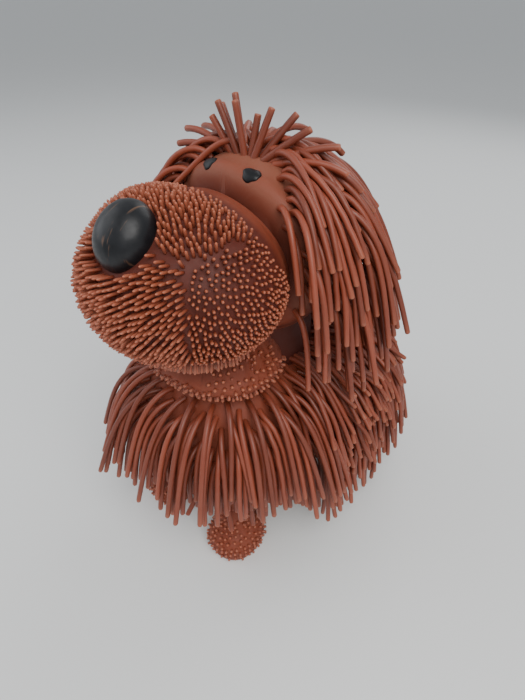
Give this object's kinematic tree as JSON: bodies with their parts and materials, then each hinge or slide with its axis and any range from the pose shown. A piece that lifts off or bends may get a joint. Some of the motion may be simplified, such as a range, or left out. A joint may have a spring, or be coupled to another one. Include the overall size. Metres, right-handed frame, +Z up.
{
  "type": "interactive toy dog",
  "caption": "Battery walking toy dog: shaggy soft rubber skin over a geared plastic chassis with swinging legs and a turning head.",
  "frame": {"origin": "on the floor, under the middle of the dog's overall box", "axes": "+Z up, the dog faces -Y, and its left side is +X"},
  "size_m": [0.122, 0.18, 0.212],
  "materials": {
    "soft_rubber": "satin",
    "white_plastic": "satin",
    "grey_plastic": "satin",
    "black_plastic": "satin",
    "circuit_board": "gloss",
    "steel": "bright",
    "brass": "bright",
    "cell_wrap": "gloss",
    "black_paint": "satin"
  },
  "bodies": {
    "chassis": {"casing_left": "white_plastic", "casing_right": "white_plastic", "casing_screw_1": "steel", "casing_screw_2": "steel", "casing_screw_3": "steel", "casing_screw_4": "steel", "battery_tray": "white_plastic", "battery_door": "white_plastic", "door_screw": "steel", "contact_front": "steel", "contact_rear": "steel", "battery_1": "cell_wrap", "battery_2": "cell_wrap", "battery_3": "cell_wrap", "contact_spring_1": "steel", "contact_spring_2": "steel", "contact_spring_3": "steel", "circuit_board": "circuit_board", "speaker": "black_plastic", "switch_body": "black_plastic", "motor": "steel", "gear_1_pin": "steel", "gear_2_pin": "steel", "gearbox_plate_left": "grey_plastic", "gearbox_plate_right": "grey_plastic", "front_axle": "steel", "hind_axle": "steel", "body_coat": "soft_rubber"},
    "crank": {"crank_wheel": "white_plastic", "crank_shaft": "steel", "crank_disc_left": "grey_plastic", "crank_disc_right": "grey_plastic", "neck_cam": "grey_plastic"},
    "gear_2": {"gear_2": "white_plastic"},
    "gear_1": {"gear_1": "white_plastic"},
    "pinion": {"motor_pinion": "brass"},
    "yoke": {"neck_yoke": "grey_plastic"},
    "head": {"neck_shaft": "grey_plastic", "skull_left": "white_plastic", "skull_right": "white_plastic", "skull_screw": "steel", "head_skin": "soft_rubber", "crown_tuft": "soft_rubber", "ear_fringe_left": "soft_rubber", "ear_fringe_right": "soft_rubber"},
    "switch": {"switch_slider": "black_plastic"},
    "leg_front_left": {"leg_front_left": "grey_plastic", "paw_skin_front_left": "soft_rubber"},
    "leg_front_right": {"leg_front_right": "grey_plastic", "paw_skin_front_right": "soft_rubber"},
    "leg_hind_left": {"leg_hind_left": "grey_plastic", "paw_skin_hind_left": "soft_rubber"},
    "leg_hind_right": {"leg_hind_right": "grey_plastic", "paw_skin_hind_right": "soft_rubber"},
    "link_left": {"leg_link_left": "grey_plastic"},
    "link_right": {"leg_link_right": "grey_plastic"}
  },
  "joints": [
    {"name": "crank_turn", "type": "hinge", "parent": "chassis", "child": "crank", "pos_m": [0, 0.042, 0.076], "axis": [1, 0, 0], "range_deg": [-90, 90]},
    {"name": "gear_2_turn", "type": "hinge", "parent": "chassis", "child": "gear_2", "pos_m": [0, 0.02664, 0.07466], "axis": [1, 0, 0], "range_deg": [-216, 216]},
    {"name": "gear_1_turn", "type": "hinge", "parent": "chassis", "child": "gear_1", "pos_m": [0, 0.01128, 0.076], "axis": [1, 0, 0], "range_deg": [-518.4, 518.4]},
    {"name": "pinion_turn", "type": "hinge", "parent": "chassis", "child": "pinion", "pos_m": [0, -0.00408, 0.07466], "axis": [1, 0, 0], "range_deg": [-1244.16, 1244.16]},
    {"name": "leg_front_left_swing", "type": "hinge", "parent": "chassis", "child": "leg_front_left", "pos_m": [0, -0.048, 0.056], "axis": [1, 0, 0], "range_deg": [-10, 10]},
    {"name": "leg_hind_left_swing", "type": "hinge", "parent": "chassis", "child": "leg_hind_left", "pos_m": [0, 0.042, 0.056], "axis": [1, 0, 0], "range_deg": [-10, 10]},
    {"name": "link_left_turn", "type": "hinge", "parent": "leg_front_left", "child": "link_left", "pos_m": [0, -0.048, 0.068], "axis": [1, 0, 0], "range_deg": [-10, 10]},
    {"name": "leg_front_right_swing", "type": "hinge", "parent": "chassis", "child": "leg_front_right", "pos_m": [0, -0.048, 0.056], "axis": [1, 0, 0], "range_deg": [-10, 10]},
    {"name": "leg_hind_right_swing", "type": "hinge", "parent": "chassis", "child": "leg_hind_right", "pos_m": [0, 0.042, 0.056], "axis": [1, 0, 0], "range_deg": [-10, 10]},
    {"name": "link_right_turn", "type": "hinge", "parent": "leg_front_right", "child": "link_right", "pos_m": [0, -0.048, 0.068], "axis": [1, 0, 0], "range_deg": [-10, 10]},
    {"name": "yoke_slide", "type": "slide", "parent": "chassis", "child": "yoke", "axis": [0, -1, 0], "range_m": [-0.0024, 0.0024]},
    {"name": "neck_turn", "type": "hinge", "parent": "chassis", "child": "head", "pos_m": [0, -0.028, 0.076], "axis": [0, 0, 1], "range_deg": [-12, 12]},
    {"name": "switch_slide", "type": "slide", "parent": "chassis", "child": "switch", "axis": [1, 0, 0], "range_m": [0, 0.0046]}
  ],
  "couplings": [
    {"joint": "gear_2_turn", "follows": "crank_turn", "ratio": -2.4},
    {"joint": "gear_1_turn", "follows": "crank_turn", "ratio": 5.76},
    {"joint": "pinion_turn", "follows": "crank_turn", "ratio": -13.824},
    {"joint": "leg_front_left_swing", "follows": "crank_turn", "ratio": 0.11111},
    {"joint": "leg_hind_left_swing", "follows": "crank_turn", "ratio": 0.11111},
    {"joint": "link_left_turn", "follows": "crank_turn", "ratio": -0.11111},
    {"joint": "leg_front_right_swing", "follows": "crank_turn", "ratio": -0.11111},
    {"joint": "leg_hind_right_swing", "follows": "crank_turn", "ratio": -0.11111},
    {"joint": "link_right_turn", "follows": "crank_turn", "ratio": 0.11111},
    {"joint": "yoke_slide", "follows": "crank_turn", "m_per_rad": 0.0015278},
    {"joint": "neck_turn", "follows": "crank_turn", "ratio": 0.13333}
  ]
}
